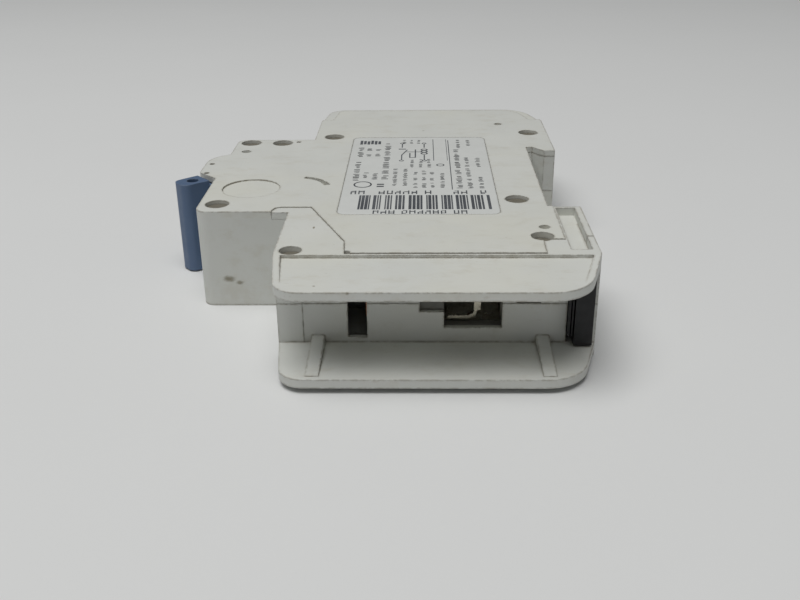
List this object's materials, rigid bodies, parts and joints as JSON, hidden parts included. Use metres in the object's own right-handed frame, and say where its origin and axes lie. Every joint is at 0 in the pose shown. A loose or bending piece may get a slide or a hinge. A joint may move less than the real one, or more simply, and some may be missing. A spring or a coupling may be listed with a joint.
{
  "type": "circuit breaker",
  "caption": "Narrow pale housing with a blue toggle, clamp terminals at both ends and a rail foot with a sliding clip; contact linkage, arc chute, solenoid and trip lever inside.",
  "frame": {"origin": "on the rail seat plane, at the rail centre line, on the outer face of the base shell", "axes": "+X from the toggle towards the rail, +Y along the breaker from the load end to the line end, +Z from the base shell to the side cover"},
  "size_m": [0.0728, 0.103, 0.0175],
  "materials": {
    "shell_plastic": "moulded, slightly grained",
    "rivet_steel": "dull",
    "toggle_plastic": "satin",
    "clip_plastic": "moulded",
    "pale_plastic": "moulded",
    "dark_plastic": "moulded",
    "steel": "turned",
    "spring_steel": "drawn wire",
    "zinc_steel": "zinc plated",
    "copper": "dull copper",
    "silver_alloy": "dull silver alloy",
    "bimetal": "rolled strip",
    "fibre_board": "pressed",
    "label_film": "printed film"
  },
  "bodies": {
    "housing": {"base_shell": "shell_plastic", "side_cover": "shell_plastic", "load_end_cover": "shell_plastic", "line_end_cover": "shell_plastic", "rivets": "rivet_steel", "handle_pin": "steel", "handle_spring": "spring_steel", "carrier_pin": "steel", "contact_spring": "spring_steel", "fixed_contact_horn": "copper", "fixed_contact_tip": "silver_alloy", "lower_arc_runner": "copper", "arc_plates": "zinc_steel", "arc_chute_cheeks": "fibre_board", "trip_lever_pin": "steel", "bimetal_strip": "bimetal", "calibration_screw": "steel", "flexible_braid": "copper", "solenoid_bobbin": "dark_plastic", "solenoid_coil": "copper", "solenoid_core": "steel", "solenoid_yoke": "zinc_steel", "plunger_spring": "spring_steel", "load_terminal_strip": "copper", "load_wire_guide": "zinc_steel", "line_terminal_strip": "copper", "line_wire_guide": "zinc_steel", "rail_clip_spring": "spring_steel", "rating_label": "label_film"},
    "toggle": {"toggle_handle": "toggle_plastic"},
    "drive_link": {"drive_link": "spring_steel"},
    "contact": {"contact_carrier": "pale_plastic", "contact_arm": "copper", "moving_contact_tip": "silver_alloy"},
    "plunger": {"solenoid_plunger": "steel", "plunger_pin": "pale_plastic"},
    "trip_lever": {"trip_lever": "pale_plastic"},
    "load_screw": {"load_clamp_screw": "zinc_steel"},
    "load_cage": {"load_clamp_cage": "zinc_steel"},
    "line_screw": {"line_clamp_screw": "zinc_steel"},
    "line_cage": {"line_clamp_cage": "zinc_steel"},
    "rail_clip": {"rail_clip": "clip_plastic"}
  },
  "joints": [
    {"name": "toggle_swing", "type": "hinge", "parent": "housing", "child": "toggle", "pos_m": [-0.0553, 0.0051, 0.00875], "axis": [0, 0, -1], "range_deg": [0, 75]},
    {"name": "link_swing", "type": "hinge", "parent": "toggle", "child": "drive_link", "pos_m": [-0.0527, 0.0066, 0.00875], "axis": [0, 0, 1], "range_deg": [0, 84.5]},
    {"name": "contact_swing", "type": "hinge", "parent": "housing", "child": "contact", "pos_m": [-0.029, -0.004, 0.00875], "axis": [0, 0, 1], "range_deg": [0, 18]},
    {"name": "plunger_slide", "type": "slide", "parent": "housing", "child": "plunger", "axis": [0, -1, 0], "range_m": [0, 0.0024], "deforming": ["plunger_spring"]},
    {"name": "trip_swing", "type": "hinge", "parent": "housing", "child": "trip_lever", "pos_m": [-0.0385, -0.003, 0.00875], "axis": [0, 0, -1], "range_deg": [0, 13.2]},
    {"name": "load_screw_turn", "type": "hinge", "parent": "housing", "child": "load_screw", "pos_m": [-0.03, -0.0323, 0.00875], "axis": [-1, 0, 0], "range_deg": [0, 3375]},
    {"name": "load_cage_slide", "type": "slide", "parent": "housing", "child": "load_cage", "axis": [-1, 0, 0], "range_m": [0, 0.0075]},
    {"name": "line_screw_turn", "type": "hinge", "parent": "housing", "child": "line_screw", "pos_m": [-0.03, 0.0323, 0.00875], "axis": [-1, 0, 0], "range_deg": [0, 3375]},
    {"name": "line_cage_slide", "type": "slide", "parent": "housing", "child": "line_cage", "axis": [-1, 0, 0], "range_m": [0, 0.0075]},
    {"name": "rail_clip_slide", "type": "slide", "parent": "housing", "child": "rail_clip", "axis": [0, -1, 0], "range_m": [0, 0.004], "deforming": ["rail_clip_spring"]}
  ],
  "couplings": [
    {"joint": "link_swing", "follows": "toggle_swing", "ratio": 1.122},
    {"joint": "contact_swing", "follows": "toggle_swing", "ratio": 0.24},
    {"joint": "trip_swing", "follows": "plunger_slide", "rad_per_m": 95.3},
    {"joint": "load_screw_turn", "follows": "load_cage_slide", "rad_per_m": 7854},
    {"joint": "line_screw_turn", "follows": "line_cage_slide", "rad_per_m": 7854}
  ]
}
